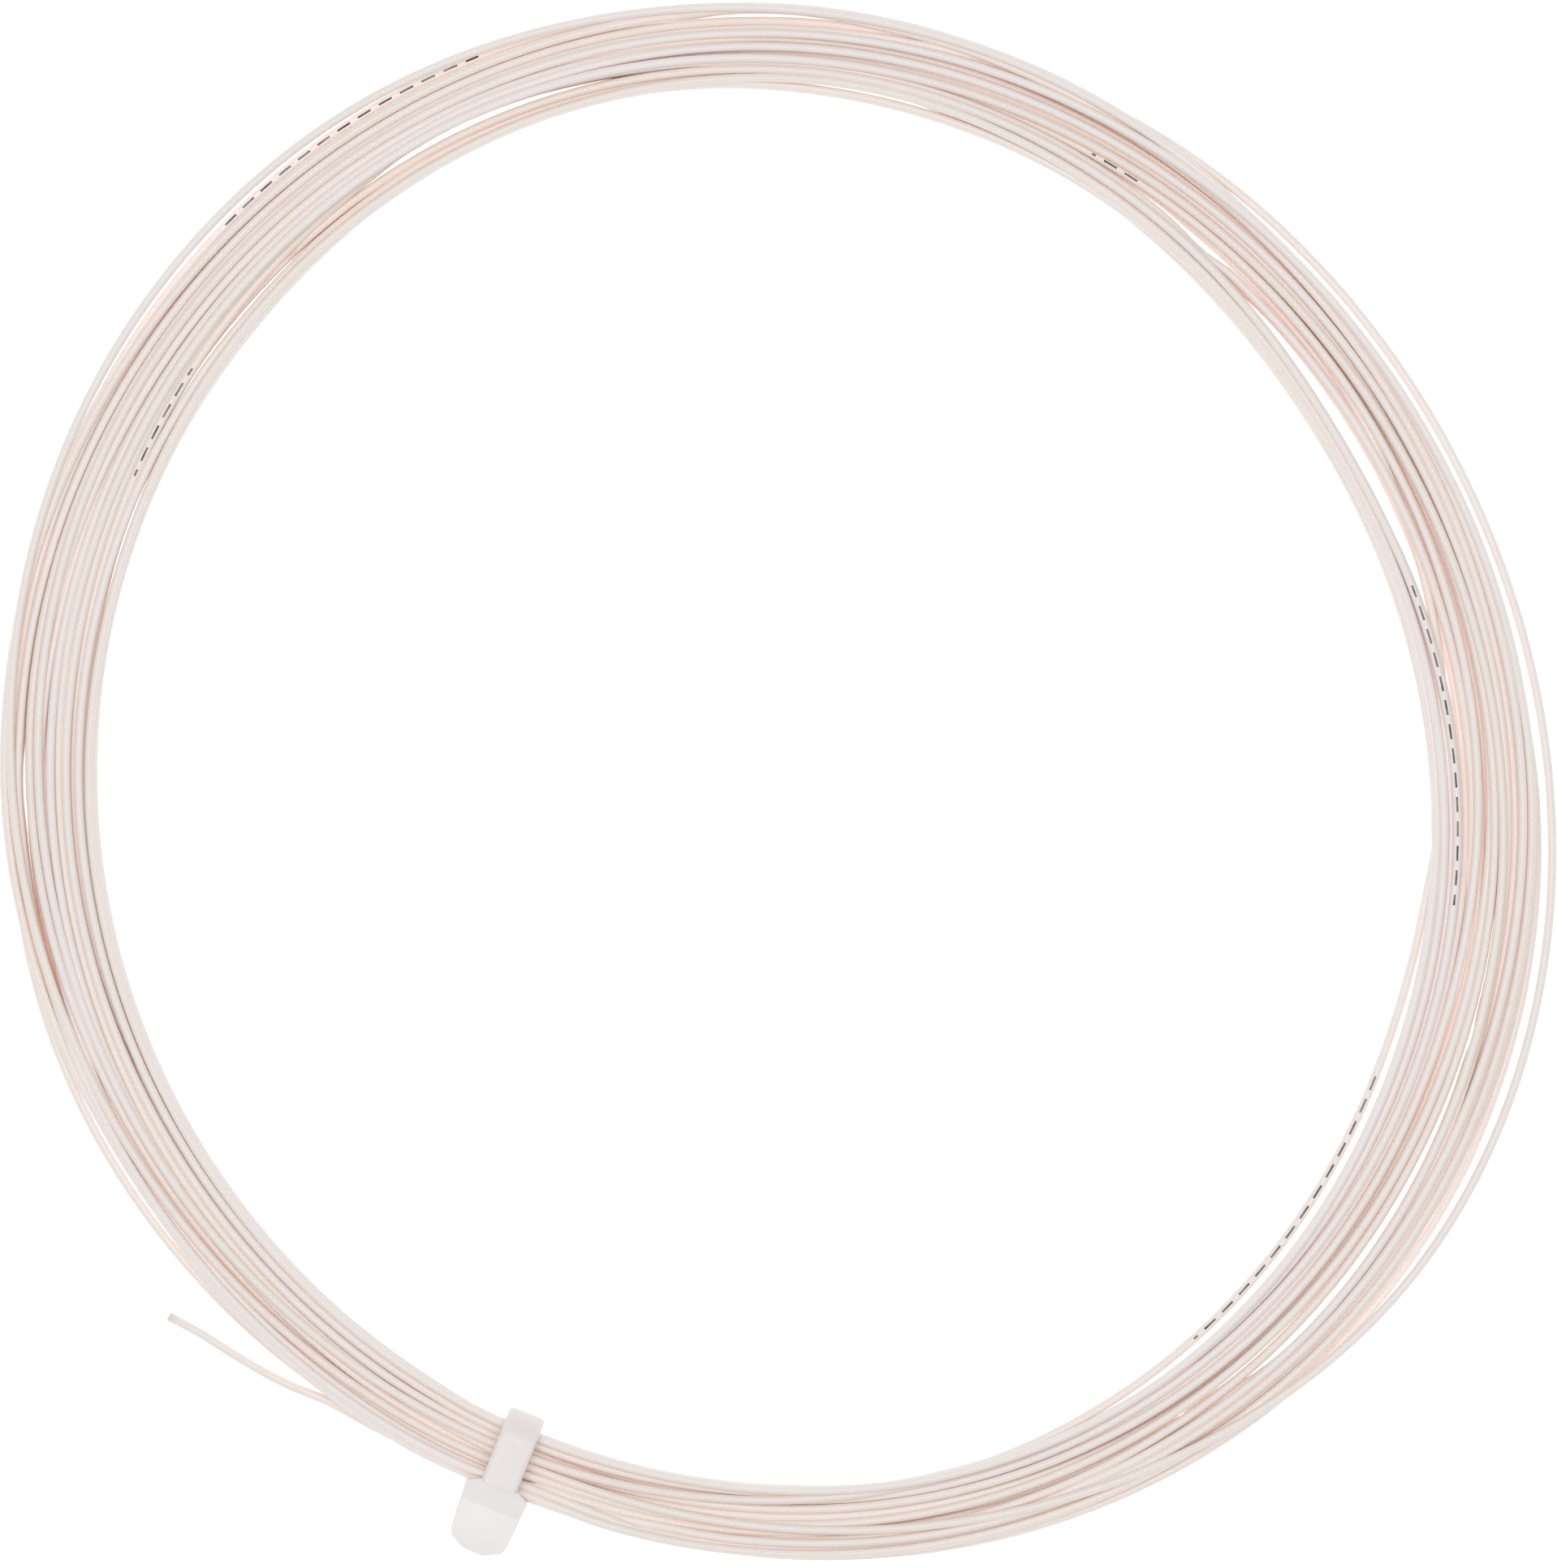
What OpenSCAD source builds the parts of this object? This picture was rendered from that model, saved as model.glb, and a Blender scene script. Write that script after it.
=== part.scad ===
// A hand-wound coil of thin round string, kept together by one small moulded tie.
// Millimetres. +Z is up, and the coil lies on the plane z = 0.
// The origin is on that plane, at the centre of the coil.

/* [String] */
// Diameter of the string
string_d = 0.65; // [0.5:0.01:0.7]

/* [Coil of turns] */
// Mean radius of the turns along the longer axis of the coil
coil_long_r = 55; // [46:0.5:80]
// Mean radius of the turns along the shorter axis of the coil
coil_short_r = 52.8; // [44:0.5:78]
// Direction of the longer axis, in degrees from +X
coil_axis_deg = 133; // [100:1:160]
// Width of the loose bundle of turns
coil_w = 8.4; // [6:0.1:14]
// Height of the loose bundle of turns
coil_h = 3.4; // [2.6:0.1:6]
// Radius of the rounded edges of the loose bundle
coil_edge_r = 1.2; // [0.5:0.1:1.3]

/* [Gathered turns] */
// Direction of the tie, in degrees from +X
tie_deg = 248.3; // [230:0.1:265]
// How far the gathered turns lie outside the mean radius along the shorter axis
gather_out = 0.65; // [-1:0.05:2]
// Width of the gathered bundle
gather_w = 5.1; // [3.6:0.1:8]
// Height of the gathered bundle
gather_h = 3.1; // [2.6:0.1:5]
// Radius of the rounded edges of the gathered bundle
gather_edge_r = 1.25; // [0.5:0.05:1.3]
// Angle over which the turns stay gathered
gather_deg = 40; // [24:1:60]

/* [Tie strap] */
// Width of the strap
strap_w = 2.76; // [2.2:0.02:4.8]
// Thickness of the strap
strap_t = 0.95; // [0.7:0.05:1.4]
// Inner radius of the two bends beside the eye of the coil
strap_bend_r = 1.2; // [0.4:0.05:1.3]
// Inner radius of the bend below the head
root_bend_r = 0.4; // [0.2:0.05:0.6]
// Distance between the ribs across the inner face
rib_pitch = 0.6; // [0.5:0.05:1]
// Depth of the grooves between the ribs
rib_depth = 0.3; // [0.2:0.02:0.4]
// Width of the ribbed track
rib_w = 1.6; // [1.2:0.1:2]
// Distance that the cut end stops short of the exit face
cut_inset = 0.25; // [0:0.05:1]

/* [Tie head] */
// Length of the head from the turns to its exit face
head_l = 4.5; // [4.2:0.1:7]
// Largest width of the head, at its shoulders
head_w = 4.84; // [4.6:0.02:8]
// Width of the head where the exit bevels begin
head_exit_w = 3.96; // [3.7:0.02:6]
// Width of the flat end face
head_flat_w = 1.62; // [1:0.02:3]
// Length of the bevels at the exit face
head_bevel = 0.6; // [0.2:0.05:1]
// Thickness of the wall above the strap
head_roof_t = 1.25; // [0.8:0.05:2]
// Thickness of the wall below the pawl
head_floor_t = 0.8; // [0.5:0.05:1.5]
// Length of the ears that reach over the turns
ear_l = 0.67; // [0.3:0.01:1]
// Length of the slope from the tips of the ears up to the top of the head
front_slope_l = 1.8; // [1:0.1:2.5]

/* [Pawl] */
// Radius of the rounded root that the pawl turns on
pawl_root_r = 0.35; // [0.25:0.05:0.4]
// Depth of the root below the strap
pawl_drop = 0.75; // [0.6:0.05:1]
// Distance of the root from the entry face
pawl_inset = 0.92; // [0.8:0.02:1.4]
// Length of the pawl from its root to its tip
pawl_l = 2.9; // [2.4:0.1:3.3]
// Width of the pawl
pawl_w = 2.1; // [1.7:0.1:2.4]
// Angle that the pawl swings away from the strap
pawl_swing_deg = 9; // [6:1:10]

/* [Fits] */
// Gap between the strap and the gathered turns
turns_gap = 0.05; // [0.03:0.01:0.2]
// Gap on each side of the strap in the head
strap_gap = 0.1; // [0.05:0.01:0.2]
// Gap above and below the strap in the head
slot_gap = 0.04; // [0.02:0.01:0.1]
// Gap round the root of the pawl
root_gap = 0.03; // [0.02:0.01:0.08]
// Gap on each side of the pawl
pawl_gap = 0.1; // [0.05:0.01:0.2]
// Gap between the teeth of the pawl and the ribs
tooth_gap = 0.1; // [0.08:0.01:0.12]

/* [Hidden] */
$fn = 48;
cut = 1;
string_colour = [0.93, 0.85, 0.81];
tie_colour = [0.95, 0.93, 0.9];

// The coil is an oval of four arcs. Each arc's centre lies this far from the origin.
arc_shift = (coil_long_r - coil_short_r) * (1 + sqrt(1/2));
coil_reach = coil_long_r + coil_w;

// The gathered turns, which run on a little into the loose ones
gather_r = coil_short_r + gather_out;
gather_lap_deg = 1;

// Heights of the strap's loop round the gathered turns
gather_z = strap_t + turns_gap;
loop_z = gather_z + gather_h + turns_gap;
strap_z = loop_z + strap_t;

// Radial places of the loop, with room for the curve of the turns across the strap
turns_bow = pow(head_w / 2, 2) / (2 * gather_r);
loop_in = gather_r - gather_w/2 - turns_gap - turns_bow;
loop_out = gather_r + gather_w/2 + turns_gap;
loop_mid = (loop_in + loop_out) / 2;

// The head. The pawl turns about root_x, root_z.
head_end = loop_out + head_l;
root_x = loop_out + pawl_inset;
root_z = loop_z - pawl_drop;
pocket_z = root_z - pawl_root_r - pawl_l * sin(pawl_swing_deg) - pawl_gap;
head_z = pocket_z - head_floor_t;
head_top = strap_z + slot_gap + head_roof_t;
ear_x = loop_out - ear_l;
slot_top = strap_z + slot_gap;

// The ears widen to the shoulders over this length.
ear_back = 0.5;
// Between the ears the roof starts this far behind the entry face.
roof_setback = 0.1;

// A groove takes this share of the pitch, and the steep rib beyond it the rest.
groove_share = 5/6;
groove_l = rib_pitch * groove_share;

// The pawl's teeth stand in the grooves nearest its tip and fill this share of their depth.
tooth_count = 2;
tooth_share = 0.7;
tooth_rise = rib_depth * tooth_share;
pawl_tip = root_x + pawl_l;
tooth_base = loop_z - slot_gap;
first_groove = pawl_tip - tooth_count * rib_pitch;

// Route of the string's free end, from inside the gathered turns to its cut end
TAIL = [
    [-22.6, -50.8, 1.9], [-25, -49.7, 1.8], [-27.5, -48.5, 1.5], [-30, -47.3, 1.2],
    [-32.5, -45.9, 0.9], [-35.2, -44.5, 0.6], [-37.8, -43.1, 0.4], [-40.3, -41.8, 0.35],
    [-42.8, -40.5, 0.35], [-45, -39.3, 0.35],
];
tail_sides = 8;
tail_steps = 2;

// A point on the smooth curve through points p, at step t of the stretch from p[i]
function route_point(p, i, t) =
    let (a = p[max(i - 1, 0)], b = p[i], c = p[i + 1], d = p[min(i + 2, len(p) - 1)])
    0.5 * (2*b + (c - a)*t + (2*a - 5*b + 4*c - d)*t*t + (3*b - a - 3*c + d)*t*t*t);

function route(p, steps) = [
    for (i = [0 : len(p) - 2], k = [0 : steps - 1]) route_point(p, i, k / steps),
    p[len(p) - 1]
];

function unit(v) = v / norm(v);

// One ring of corners round point q, square to direction d
function ring(q, d, r, sides) =
    let (side = unit(cross(d, [0, 0, 1])), up = cross(side, d))
    [for (k = [0 : sides - 1]) let (a = 360 * k / sides) q + r * (cos(a) * side + sin(a) * up)];

function heading(p, i) = unit(p[min(i + 1, len(p) - 1)] - p[max(i - 1, 0)]);

// A round tube along points p
module tube(p, r, sides) {
    last = len(p) - 1;
    corners = [for (i = [0 : last]) each ring(p[i], heading(p, i), r, sides)];
    walls = [
        for (i = [0 : last - 1], k = [0 : sides - 1])
            let (n = (k + 1) % sides)
            [i*sides + k, (i + 1)*sides + k, (i + 1)*sides + n, i*sides + n]
    ];
    start = [for (k = [0 : sides - 1]) k];
    end = [for (k = [sides - 1 : -1 : 0]) last*sides + k];
    polyhedron(corners, concat(walls, [start, end]), convexity = 4);
}

// A rectangle with round corners, standing on y = 0 and centred on x = 0
module bundle_section(w, h, r) {
    translate([r - w/2, 0]) square([w - 2*r, h]);
    translate([-w/2, r]) square([w, h - 2*r]);
    for (x = [-1, 1], y = [r, h - r]) translate([x * (w/2 - r), y]) circle(r);
}

// A wedge of the plane about the origin, centred on +X
module wedge(angle, reach) {
    half = angle / 2;
    polygon([[0, 0], [reach, -reach * tan(half)], [reach, reach * tan(half)]]);
}

// The oval run of loose turns
module loose_turns() {
    for (k = [0 : 3]) {
        long_end = k % 2 == 0;
        shift = long_end ? arc_shift : -arc_shift;
        r = long_end ? coil_long_r - arc_shift : coil_short_r + arc_shift;
        rotate([0, 0, coil_axis_deg + 90*k])
            translate([shift, 0, 0])
                rotate([0, 0, -45])
                    rotate_extrude(angle = 90)
                        translate([r, 0]) bundle_section(coil_w, coil_h, coil_edge_r);
    }
}

module string_coil() {
    color(string_colour) union() {
        difference() {
            loose_turns();
            rotate([0, 0, tie_deg])
                translate([0, 0, -cut])
                    linear_extrude(coil_h + 2*cut) wedge(gather_deg, coil_reach);
        }
        rotate([0, 0, tie_deg - gather_deg/2 - gather_lap_deg])
            rotate_extrude(angle = gather_deg + 2*gather_lap_deg)
                translate([gather_r, gather_z]) bundle_section(gather_w, gather_h, gather_edge_r);
    }
}

module string_tail() {
    color(string_colour) tube(route(TAIL, tail_steps), string_d/2, tail_sides);
}

// Stands a radial profile up at the tie: its x is the radius and its y the height.
module at_tie(w) {
    rotate([0, 0, tie_deg]) rotate([90, 0, 0]) linear_extrude(w, center = true) children();
}

// Outline of the strap's loop, grown by a distance all round. Its upper outer corner is square.
module loop_outline(grow) {
    left = loop_in - grow;
    right = loop_out + grow;
    low = strap_t - grow;
    high = loop_z + grow;
    r = strap_bend_r + grow;
    root_r = root_bend_r + grow;
    translate([left + r, low]) square([right - root_r - left - r, high - low]);
    translate([left, low + r]) square([right - root_r - left, high - low - 2*r]);
    translate([left + r, low + root_r]) square([right - left - r, high - low - root_r]);
    for (y = [low + r, high - r]) translate([left + r, y]) circle(r);
    translate([right - root_r, low + root_r]) circle(root_r);
}

// Side view of the strap, from its root below the head, round the turns, to its cut end
module loop_profile() {
    difference() {
        union() {
            loop_outline(strap_t);
            translate([loop_mid, loop_z]) square([head_end - cut_inset - loop_mid, strap_t]);
        }
        loop_outline(0);
        // The head takes the place of the strap beside the turns.
        translate([loop_mid, head_z]) square([loop_out + strap_t + cut - loop_mid, loop_z - head_z]);
    }
}

// A groove in the strap's inner face: it slopes up to a steep rib on its outer side.
module groove() {
    polygon([[0, 0], [groove_l, 0], [groove_l, rib_depth]]);
}

module tie_strap() {
    track = floor((first_groove - loop_in - strap_bend_r) / rib_pitch);
    color(tie_colour) difference() {
        at_tie(strap_w) loop_profile();
        at_tie(rib_w)
            for (k = [-track : tooth_count - 1])
                translate([first_groove + k*rib_pitch, loop_z]) groove();
    }
}

// Plan of the head, with its ears over the turns, its shoulders and its exit bevels
module head_plan() {
    half = [
        [ear_x, strap_w/2], [ear_x + ear_back, head_w/2],
        [head_end - head_bevel, head_exit_w/2], [head_end, head_flat_w/2],
    ];
    polygon(concat(half, [for (k = [len(half) - 1 : -1 : 0]) [half[k][0], -half[k][1]]]));
}

// What the slope over the ears takes off the head, in side view
module front_slope() {
    polygon([
        [ear_x - cut, slot_top], [ear_x, slot_top], [ear_x + front_slope_l, head_top],
        [ear_x + front_slope_l, head_top + cut], [ear_x - cut, head_top + cut],
    ]);
}

module tie_head() {
    pocket_w = pawl_w + 2*pawl_gap;
    slot_w = strap_w + 2*strap_gap;
    color(tie_colour) difference() {
        rotate([0, 0, tie_deg])
            translate([0, 0, head_z]) linear_extrude(head_top - head_z) head_plan();
        // Below the ears the entry face stands clear of the turns.
        at_tie(head_w + 2*cut)
            translate([ear_x - cut, head_z - cut])
                square([loop_out - ear_x + cut, loop_z - head_z + cut]);
        // Between the ears the roof is cut back over the strap.
        at_tie(slot_w)
            translate([ear_x - cut, loop_z])
                square([loop_out + roof_setback - ear_x + cut, head_top]);
        // The top slopes down over the ears to the strap.
        at_tie(head_w + 2*cut) front_slope();
        // The slot for the strap
        at_tie(slot_w)
            translate([loop_out - cut, loop_z - slot_gap])
                square([head_l + 2*cut, strap_t + 2*slot_gap]);
        // The pocket for the pawl, open at the exit face, and the round seat of its root
        at_tie(pocket_w)
            translate([root_x, pocket_z]) square([head_l, loop_z - pocket_z]);
        at_tie(pocket_w)
            translate([root_x, root_z]) circle(pawl_root_r + root_gap);
    }
}

// A tooth of the pawl: steep towards the exit, it holds the rib beyond it.
module tooth() {
    tip = groove_l - tooth_gap;
    polygon([[tooth_gap, 0], [tip, 0], [tip, tooth_rise], [tooth_gap + tooth_rise/2, tooth_rise/4]]);
}

module tie_pawl() {
    color(tie_colour) union() {
        at_tie(pawl_w) {
            translate([root_x, root_z]) circle(pawl_root_r);
            translate([root_x, root_z - pawl_root_r]) square([pawl_l, 2*pawl_root_r]);
            translate([first_groove, root_z])
                square([pawl_tip - first_groove, tooth_base - root_z]);
        }
        at_tie(rib_w - 2*pawl_gap)
            for (k = [0 : tooth_count - 1])
                translate([first_groove + k*rib_pitch, tooth_base]) tooth();
    }
}

string_coil();
string_tail();
tie_strap();
tie_head();
tie_pawl();
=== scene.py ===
import math

import bmesh
import bpy
import numpy as np
from mathutils import Matrix, Vector


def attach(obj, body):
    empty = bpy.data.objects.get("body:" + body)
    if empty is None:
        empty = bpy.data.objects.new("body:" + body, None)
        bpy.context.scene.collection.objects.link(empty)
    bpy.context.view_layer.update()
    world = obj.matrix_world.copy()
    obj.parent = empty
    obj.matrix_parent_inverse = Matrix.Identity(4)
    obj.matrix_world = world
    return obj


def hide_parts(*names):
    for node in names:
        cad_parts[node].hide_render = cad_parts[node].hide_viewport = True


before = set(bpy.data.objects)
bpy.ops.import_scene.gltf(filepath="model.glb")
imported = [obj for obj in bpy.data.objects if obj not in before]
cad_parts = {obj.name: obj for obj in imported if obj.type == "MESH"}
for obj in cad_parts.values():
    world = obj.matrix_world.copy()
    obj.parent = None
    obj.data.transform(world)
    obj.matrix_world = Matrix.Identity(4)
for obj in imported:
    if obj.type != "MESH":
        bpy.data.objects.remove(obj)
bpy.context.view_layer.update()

# Sizes are in millimetres and degrees, and go to metres as the pieces are made.
MM = 0.001


# ---- Camera ----

LENS = 240
SENSOR = 36
LONG_SIDE = 115.6       # what the long side of the picture takes in, at the turns' height
TURNS_MID_Z = 1.5


def make_camera():
    """Looks straight down on the coil, with +Y up the picture."""
    data = bpy.data.cameras.new("overhead")
    data.lens = LENS
    data.sensor_width = SENSOR
    data.clip_start = 0.01
    camera = bpy.data.objects.new("overhead", data)
    camera.location = (0, 0, (TURNS_MID_Z + LONG_SIDE * LENS / SENSOR) * MM)
    bpy.context.collection.objects.link(camera)
    bpy.context.scene.camera = camera


make_camera()


# ---- String: one length, wound by hand ----

STRING_D = 0.65
STRING_SIDES = 10
TURNS = 30
STATIONS = 144          # round one turn
STATION_DEG = 360 / STATIONS
START_DEG = 248.75      # the hidden end, inside the tie

# Inner and outer radius of the loose bundle, every 20 degrees round from +X
BUNDLE_STEP_DEG = 20
BUNDLE = [
    (47.4, 57.2), (46.7, 55.8), (47.2, 55.4), (49.0, 55.9), (50.4, 57.1), (51.8, 58.3),
    (51.8, 59.3), (51.0, 59.1), (50.6, 58.3), (50.2, 57.5), (49.9, 57.2), (49.7, 56.6),
    (50.3, 56.1), (51.0, 56.5), (52.1, 58.6), (51.3, 60.1), (49.7, 59.9), (48.2, 59.0),
]

# Turns that leave the bundle for a stretch: which one, on which side of the bundle
# (1 outside, -1 inside), from and to which direction, and the widest gap beside it
STRAYS = [
    (23, 1, -38, 4.5, 0.48), (23, 1, 10, 54, 0.4), (26, 1, 116.5, 153, 0.2),
    (18, 1, 200.7, 219.5, 0.3), (28, -1, -62.5, -15, 0.5),
]

# Slits between the turns: from and to which direction, the radius at each end, the widest gap
SLITS = [
    (312, 338, 56.0, 54.4, 0.45), (28, 41.5, 48.5, 49.2, 0.4), (49.5, 58, 50.2, 51.2, 0.2),
    (91, 95.5, 56.8, 56.8, 0.2), (85, 91.5, 51.7, 51.7, 0.2), (106, 118.7, 53.6, 54.0, 0.35),
    (136, 145.5, 52.6, 52.6, 0.2), (155.5, 166.5, 51.7, 51.2, 0.25), (176.5, 182, 55.6, 55.6, 0.3),
    (321.5, 328.7, 58.2, 57.8, 0.2), (341, 346, 52.3, 52.3, 0.2),
]

# Route of the free end, from inside the tie to where it is cut
TAIL = [
    (-22.6, -50.8, 1.9), (-25, -49.7, 1.8), (-27.5, -48.5, 1.5), (-30, -47.3, 1.2),
    (-32.5, -45.9, 0.9), (-35.2, -44.5, 0.6), (-37.8, -43.1, 0.4), (-40.3, -41.8, 0.35),
    (-42.8, -40.5, 0.35), (-45, -39.3, 0.35),
]

# The gathered bundle inside the tie
TIE_DEG = 248.3
GATHER_R = 53.45
GATHER_W = 5.1
GATHER_H = 3.1
GATHER_EDGE_R = 1.25
GATHER_Z = 1.0
GATHER_HALF_DEG = 3.9   # the bundle keeps this shape so far on each side of the tie
GATHER_SPREAD = 0.06    # and widens by this much a degree beyond, up to
GATHER_END_DEG = 20

SEED = 7
DRIFT_KNOTS = 3         # how often in a turn a strand changes course
DRIFT_KEEP = 0.93       # how far it keeps to its course there
LEAVE = 0.012           # how sharply a strand may leave its neighbour, per degree squared
LEAVE_DEG = 30
STRAY_ROOM_DEG = 14     # how far past its gap a stray's neighbours still make room for it
STRAY_LEAD_DEG = 45     # and how far past the gap it is drawn to the bundle's edge
STRAY_PLAY = 0.05
STACK = 0.11            # how much higher each turn starts than the one before
ROUNDS = 1400
GOAL_PULL = 0.15        # how far each round takes a strand towards its lane
SINK = 0.03             # how far each round lets it sink
PUSH = 0.3              # the share of an overlap that each of two strands gives way
COURSE_WIDTH = 4        # how widely a strand's course is smoothed, in stations
HEIGHT_WIDTH = 2.5      # and its height
SETTLE_ROUNDS = 150     # rounds that move the strands only up and down
SETTLE_SINK = 0.004
PART_ROUNDS = 20        # the last rounds, in which strands that run through each other part
PART_EASE = 0.1
BURIED = 0.3            # how far below the top strand another one counts as buried


def along(points, at):
    """Places on the smooth curve through points, at fractional positions along them."""
    p = np.asarray(points, float)
    i = np.clip(np.floor(at).astype(int), 0, len(p) - 2)
    t = (at - i)[:, None]
    a, b, c, d = (p[np.clip(i + k, 0, len(p) - 1)] for k in (-1, 0, 1, 2))
    return 0.5 * (2*b + (c - a)*t + (2*a - 5*b + 4*c - d)*t*t + (3*b - a - 3*c + d)*t**3)


def eased(x):
    x = np.clip(x, 0, 1)
    return x * x * (3 - 2 * x)


def offset(deg, start, end):
    """How far each direction lies from the middle of a stretch, signed, and half the stretch."""
    middle = (start + end) / 2
    return (deg - middle + 180) % 360 - 180, (end - start) / 2


def bundle_edges(deg):
    """Inner and outer radius of the loose bundle in each direction."""
    count = len(BUNDLE)
    ring = [BUNDLE[k % count] for k in range(-1, count + 2)]
    edges = along(ring, 1 + (deg % 360) / BUNDLE_STEP_DEG)
    return edges[:, 0], edges[:, 1]


def lanes(rng, passes):
    """Where each pass would lie across the bundle, 0 at its inner edge and 1 at its outer one.

    Each strand wanders, and the strands are spread evenly across in every direction."""
    count = passes * DRIFT_KNOTS + 4
    course = np.zeros(count)
    now = 0
    for i in range(count):
        now = DRIFT_KEEP * now + math.sqrt(1 - DRIFT_KEEP**2) * rng.normal()
        course[i] = now
    at = np.arange(passes * STATIONS) * DRIFT_KNOTS / STATIONS
    course = along(course[:, None], at)[:, 0].reshape(passes, STATIONS)
    return np.argsort(np.argsort(course, axis=0), axis=0) / (passes - 1)


def chain_smoother(total):
    """A function that smooths a quantity along the string, from one pass on to the next."""
    reach = 16
    taps = np.arange(-reach, reach + 1)

    def smooth(values, width, share):
        flat = values.reshape(-1).copy()
        run = flat[:total]
        padded = np.concatenate([
            2 * run[0] - run[reach:0:-1], run, 2 * run[-1] - run[-2:-reach - 2:-1]])
        weights = np.exp(-0.5 * (taps / width) ** 2)
        soft = np.convolve(padded, weights / weights.sum(), mode="valid")
        flat[:total] = run + share * (soft - run)
        return flat.reshape(values.shape)

    return smooth


def wind_string(rounds):
    """The string's centreline as points, from its hidden end to its cut end, and how deep each
    point lies below the strands on top of it.

    Every pass of the string through every direction is one disc in a section of the bundle.
    The discs grow to the string's size, push each other apart, sink to the floor, keep to the
    bundle's edges and stay in smooth strands."""
    rng = np.random.default_rng(SEED)
    deg = START_DEG - STATION_DEG * np.arange(STATIONS)
    tail = along(TAIL, np.linspace(0, len(TAIL) - 1, 200))
    tail_deg = np.degrees(np.arctan2(tail[:, 1], tail[:, 0])) % 360
    last = round((START_DEG - tail_deg[-1]) / STATION_DEG)
    passes = TURNS + 1
    total = TURNS * STATIONS + last
    there = np.ones((passes, STATIONS), bool)
    there[-1, last:] = False

    inner, outer = bundle_edges(deg)
    low = np.tile(inner + STRING_D / 2, (passes, 1))
    high = np.tile(outer - STRING_D / 2, (passes, 1))
    stray_share = np.zeros((passes, STATIONS))
    stray_r = np.zeros((passes, STATIONS))
    strays = []
    for turn, side, start, end, gap in STRAYS:
        off, half = offset(deg, start, end)
        beyond = np.maximum(np.abs(off) - half, 0)
        room = STRING_D * eased(1 - beyond / STRAY_ROOM_DEG)
        room = room + gap * np.sqrt(np.clip(1 - (off / half) ** 2, 0, 1))
        others = np.arange(passes) != turn
        if side > 0:
            high[others] -= room
            edge = outer - STRING_D / 2
        else:
            low[others] += room
            edge = inner + STRING_D / 2
        share = eased(1 - beyond / STRAY_LEAD_DEG)
        stray_r[turn] = np.where(share > stray_share[turn], edge, stray_r[turn])
        stray_share[turn] = np.maximum(stray_share[turn], share)
        near = beyond < LEAVE_DEG
        play = STRAY_PLAY + LEAVE * beyond ** 2
        strays.append((turn, near, (edge - play)[near], (edge + play)[near]))
    goal = low + lanes(rng, passes) * (high - low)
    goal = goal + stray_share * (stray_r - goal)

    pinned = np.nonzero(deg[:last] <= tail_deg[0])[0]
    order = np.argsort(tail_deg)
    tail_r = np.interp(deg[:last], tail_deg[order], np.hypot(tail[:, 0], tail[:, 1])[order])
    tail_z = np.interp(deg[:last], tail_deg[order], tail[order, 2])
    goal[-1, :last] = tail_r
    low[-1, :last] = GATHER_R
    high[-1, :last] = tail_r.max()

    slits = []
    for start, end, start_r, end_r, gap in SLITS:
        off, half = offset(deg, start, end)
        beyond = np.maximum(np.abs(off) - half, 0)
        near = np.nonzero(beyond < LEAVE_DEG / 2)[0]
        middle_r = start_r + (end_r - start_r) * np.clip(off / half / 2 + 0.5, 0, 1)
        side = np.where(goal[:, np.argmin(np.abs(off))] > (start_r + end_r) / 2, 1, -1)[:, None]
        room = STRING_D / 2 + gap / 2 * np.sqrt(np.clip(1 - (off / half) ** 2, 0, 1))
        slits.append((near, side, middle_r[near], (room - LEAVE * beyond ** 2)[near]))

    off_tie = np.abs(offset(deg, TIE_DEG, TIE_DEG)[0])
    held = off_tie < GATHER_END_DEG
    spread = np.maximum(off_tie[held] - GATHER_HALF_DEG, 0) * GATHER_SPREAD
    corner_r = GATHER_EDGE_R - STRING_D / 2
    flat = np.stack([GATHER_W / 2 - GATHER_EDGE_R + spread, GATHER_H / 2 - GATHER_EDGE_R + 2 * spread])
    flat = flat[:, None, :]
    floor = STRING_D / 2 + GATHER_Z * eased((10 - off_tie) / 6.5)

    loose = eased((off_tie - 3) / 8)
    smooth = chain_smoother(total)
    pair = there[:, None] & there[None] & ~np.eye(passes, dtype=bool)[:, :, None]

    def pushes(r, z, size):
        """How far the other strands push each one sideways and up."""
        dr = r[:, None] - r[None]
        dz = z[:, None] - z[None]
        apart = np.sqrt(dr * dr + dz * dz) + 1e-6
        push = np.where(pair & (apart < size), PUSH * (size - apart) / apart, 0)
        return (push * dr).sum(1), (push * dz).sum(1)

    def on_top(r, z):
        """How high the topmost strand lies over each one."""
        over = (np.abs(r[:, None] - r[None]) < STRING_D) & pair
        return np.where(over, z[None], 0).max(1)

    def keep(r, z):
        """Holds the strands to the slits, the strays, the bundle's edges, the tie and the tail."""
        for near, side, middle_r, room in slits:
            gone = (r[:, near] - middle_r) * side
            r[:, near] = np.where(gone < room, middle_r + side * room, r[:, near])
        for turn, near, least, most in strays:
            r[turn, near] = np.clip(r[turn, near], least, most)
        r = np.clip(r, low, high)
        z = np.maximum(z, floor)
        q = np.stack([r[:, held] - GATHER_R, z[:, held] - GATHER_Z - GATHER_H / 2])
        corner = np.maximum(np.abs(q) - flat, 0)
        shrink = np.minimum(1, corner_r / (np.hypot(*corner) + 1e-9))
        q = np.sign(q) * (np.minimum(np.abs(q), flat) + corner * shrink)
        r[:, held] = GATHER_R + q[0]
        z[:, held] = GATHER_Z + GATHER_H / 2 + q[1]
        r[-1, pinned] = tail_r[pinned]
        z[-1, pinned] = tail_z[pinned]
        return r, z

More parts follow.
